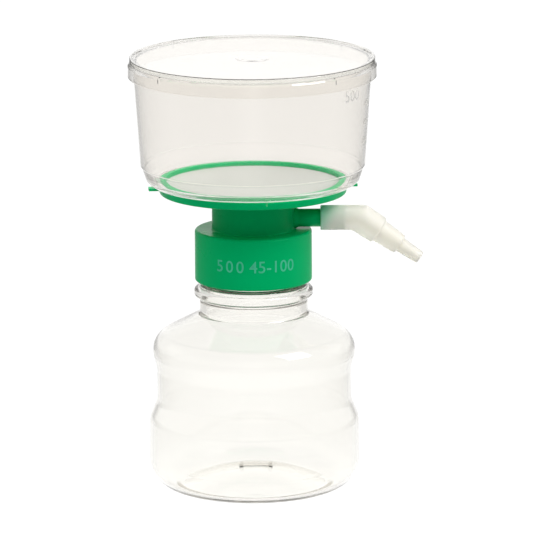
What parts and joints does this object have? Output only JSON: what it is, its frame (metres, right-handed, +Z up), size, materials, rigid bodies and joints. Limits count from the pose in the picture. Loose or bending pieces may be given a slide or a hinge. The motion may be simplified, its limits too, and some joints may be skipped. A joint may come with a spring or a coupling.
{
  "type": "vacuum filtration unit",
  "caption": "Disposable laboratory filter unit: a clear lidded funnel over a membrane in a green screw-on base with a stepped hose elbow, on a waisted clear receiver bottle.",
  "frame": {"origin": "on the unit's vertical axis, in the plane that the bottle stands on", "axes": "+Z up along the unit's axis; the side arm and its hose elbow point midway between +X and -Y"},
  "size_m": [0.1178, 0.1178, 0.2079],
  "materials": {
    "clear_styrene": "clear, glossy, moulded",
    "green_plastic": "opaque, satin gloss, moulded",
    "natural_plastic": "milky, translucent, satin",
    "membrane_sheet": "smooth matt filter sheet",
    "cotton": "packed fibre",
    "soft_seal": "soft matt elastomer"
  },
  "bodies": {
    "bottle": {"receiver_bottle": "clear_styrene"},
    "seal": {"collar_gasket": "soft_seal"},
    "filter_head": {"filter_base": "green_plastic", "port_plug": "cotton", "membrane": "membrane_sheet", "funnel_cup": "clear_styrene"},
    "cover": {"lid": "clear_styrene"},
    "elbow": {"hose_elbow": "natural_plastic"}
  },
  "joints": [
    {"name": "head_lift", "type": "slide", "parent": "bottle", "child": "seal", "axis": [0, 0, 1], "range_m": [0, 0.006]},
    {"name": "head_turn", "type": "hinge", "parent": "seal", "child": "filter_head", "pos_m": [0, 0, 0.1216], "axis": [0, 0, 1], "range_deg": [0, 540]},
    {"name": "lid_lift", "type": "slide", "parent": "filter_head", "child": "cover", "axis": [0, 0, 1], "range_m": [0, 0.06]},
    {"name": "elbow_swivel", "type": "hinge", "parent": "filter_head", "child": "elbow", "pos_m": [0.02758, -0.02758, 0.13], "axis": [0.7071, -0.7071, 0], "continuous": true}
  ],
  "couplings": [
    {"joint": "head_lift", "follows": "head_turn", "m_per_rad": 0.0006366}
  ]
}
